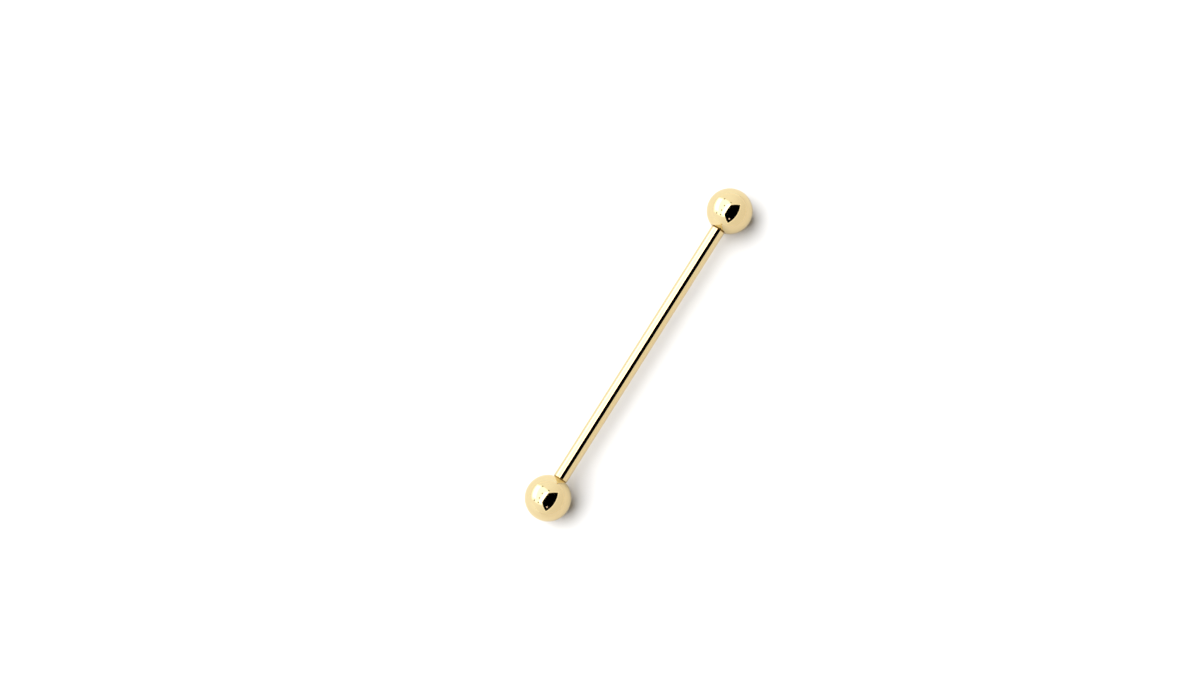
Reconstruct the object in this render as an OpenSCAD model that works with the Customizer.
// Industrial barbell: a long straight bar for two piercings in the upper ear,
// with a ball that screws onto each end.
// It lies on a surface as it would by itself, on its two balls.
// The frame: millimetres, X along the bar, +Z up, and the origin under the
// middle of the bar, on the surface that the balls rest on.

/* [Bar] */
// Diameter of the bar, 14 gauge
bar_d = 1.6; // [1.2:0.1:2]
// Length of bar between the two balls, one and a quarter inches
bar_len = 32; // [24:1:44]
// Length of the chamfer at each end of the plain bar, before its ball
bar_chamfer = 0.12; // [0.06:0.01:0.16]

/* [Balls] */
// Diameter of each ball
ball_d = 5; // [5:0.5:8]
// Width of the flat that shows around the bar, where the bar seats on the ball
seat_ring = 0.15; // [0.1:0.01:0.2]

/* [Thread] */
// Step from the bar's surface down to the crests of the thread
shoulder = 0.2; // [0.18:0.01:0.24]
// Distance from one crest of the thread to the next
pitch = 0.25; // [0.25:0.05:0.4]
// Height of the thread's crests over its roots
thread_depth = 0.13; // [0.08:0.01:0.16]
// Length of the threaded post at each end of the bar
post_len = 2.9; // [2.4:0.1:3.3]
// Length of the chamfer at the end of the post
post_chamfer = 0.2; // [0.1:0.05:0.3]

/* [Fits] */
// Gap around the post's crests, so that the ball comes off the post
thread_gap = 0.03; // [0.02:0.01:0.05]
// Gap between the bar's shoulder and the ball's flat
seat_gap = 0.02; // [0.01:0.01:0.05]
// Room between the end of the post and the bottom of the hole
end_room = 0.3; // [0.2:0.1:0.4]

/* [Hidden] */

$fn = 96;
gold = [0.93, 0.80, 0.52];

bar_r = bar_d / 2;
ball_r = ball_d / 2;

// The thread on the post, from its root to its crest.
crest_r = bar_r - shoulder;
root_r = crest_r - thread_depth;
tip_r = crest_r - post_chamfer;

// The thread in the ball: its lands clear the post's crests, and its grooves lie further out.
land_r = crest_r + thread_gap;
groove_r = land_r + thread_depth / 2;
hole_len = post_len + end_room;

// The hole ends in the cone of a drill's point, with a small blunt tip.
drill_angle = 118;
drill_tip_r = 0.05;
drill_point = (groove_r - drill_tip_r) / tan(drill_angle / 2);

// A small chamfer leads the post into the hole.
lead_in = 0.04;

// The ball's flat is at the end of the visible bar, and sets how far out the ball's centre is.
flat_x = bar_len / 2;
flat_r = bar_r + seat_ring;
ball_x = flat_x + sqrt(ball_r * ball_r - flat_r * flat_r);
rest_z = ball_r;

// The bar's shoulder stops just short of the ball's flat.
shoulder_x = flat_x - seat_gap;
shoulder_r = bar_r - bar_chamfer;
plain_x = shoulder_x - bar_chamfer;

// A meshed thread has this many sides, and this many rings for each turn.
thread_sides = 20;
turn_rings = 5;
overlap = 0.2;

// Height of the thread at a place that is t turns along, from 0 at its root to 1 at its crest.
function thread_form(t) = (1 - cos(360 * t)) / 2;

// The thread starts and ends smoothly, within one pitch of either end of the stretch.
function fade(u, length) = min(1, max(0, u / pitch), max(0, (length - u) / pitch));

// Radius of a threaded rod at a distance u from its foot and an angle a. Its far
// end is a cone that narrows to end_r over the last cone_len.
function rod_r(u, a, low, high, length, cone_len, end_r) =
    let (height = thread_form(u / pitch - a / 360) * fade(u, length - cone_len / 2))
    let (cone = end_r + (high - end_r) * (length - u) / cone_len)
    min(low + (high - low) * height, cone);

// A closed rod along +Z with a right-hand thread, from z = -overlap to z = length.
module threaded_rod(low, high, length, cone_len, end_r) {
    rings = ceil(length / pitch * turn_rings);
    levels = concat([-overlap], [for (j = [0 : rings]) length * j / rings]);
    sides = thread_sides;
    points = [
        for (u = levels)
            for (i = [0 : sides - 1])
                let (a = 360 * i / sides)
                let (r = rod_r(u, a, low, high, length, cone_len, end_r))
                [r * cos(a), r * sin(a), u]
    ];
    last = len(levels) - 1;
    walls = [
        for (j = [0 : last - 1])
            for (i = [0 : sides - 1])
                let (k = (i + 1) % sides)
                for (half = [0, 1])
                    half == 0
                        ? [j * sides + i, (j + 1) * sides + i, (j + 1) * sides + k]
                        : [j * sides + i, (j + 1) * sides + k, j * sides + k]
    ];
    foot = [for (i = [0 : sides - 1]) i];
    head = [for (i = [sides - 1 : -1 : 0]) last * sides + i];
    polyhedron(points = points, faces = concat([foot], walls, [head]), convexity = 4);
}

// Puts what points along +Z, from the middle of the bar, along the bar towards one side: 1 is +X, -1 is -X.
module along_bar(side) {
    translate([0, 0, rest_z])
        rotate([0, side * 90, 0])
            children();
}

// The bar: one wire, plain between its two shoulders, with a threaded post at each end.
module bar() {
    color(gold)
        union() {
            along_bar(1)
                translate([0, 0, -plain_x])
                    cylinder(r = bar_r, h = 2 * plain_x);
            for (side = [-1, 1]) {
                along_bar(side)
                    translate([0, 0, plain_x])
                        cylinder(r1 = bar_r, r2 = shoulder_r, h = bar_chamfer);
                along_bar(side)
                    translate([0, 0, shoulder_x])
                        threaded_rod(root_r, crest_r, post_len, post_chamfer, tip_r);
            }
        }
}

// A ball with a flat for the bar's shoulder, drilled and threaded from that flat.
module screw_ball(side) {
    color(gold)
        along_bar(side)
            difference() {
                translate([0, 0, ball_x])
                    sphere(r = ball_r);
                translate([0, 0, flat_x - ball_r])
                    cylinder(r = ball_r, h = ball_r);
                translate([0, 0, flat_x])
                    threaded_rod(land_r, groove_r, hole_len + drill_point, drill_point, drill_tip_r);
                translate([0, 0, flat_x - lead_in])
                    cylinder(r1 = land_r + 2 * lead_in, r2 = land_r, h = 2 * lead_in);
            }
}

module left_ball() {
    screw_ball(-1);
}

module right_ball() {
    screw_ball(1);
}

bar();
left_ball();
right_ball();
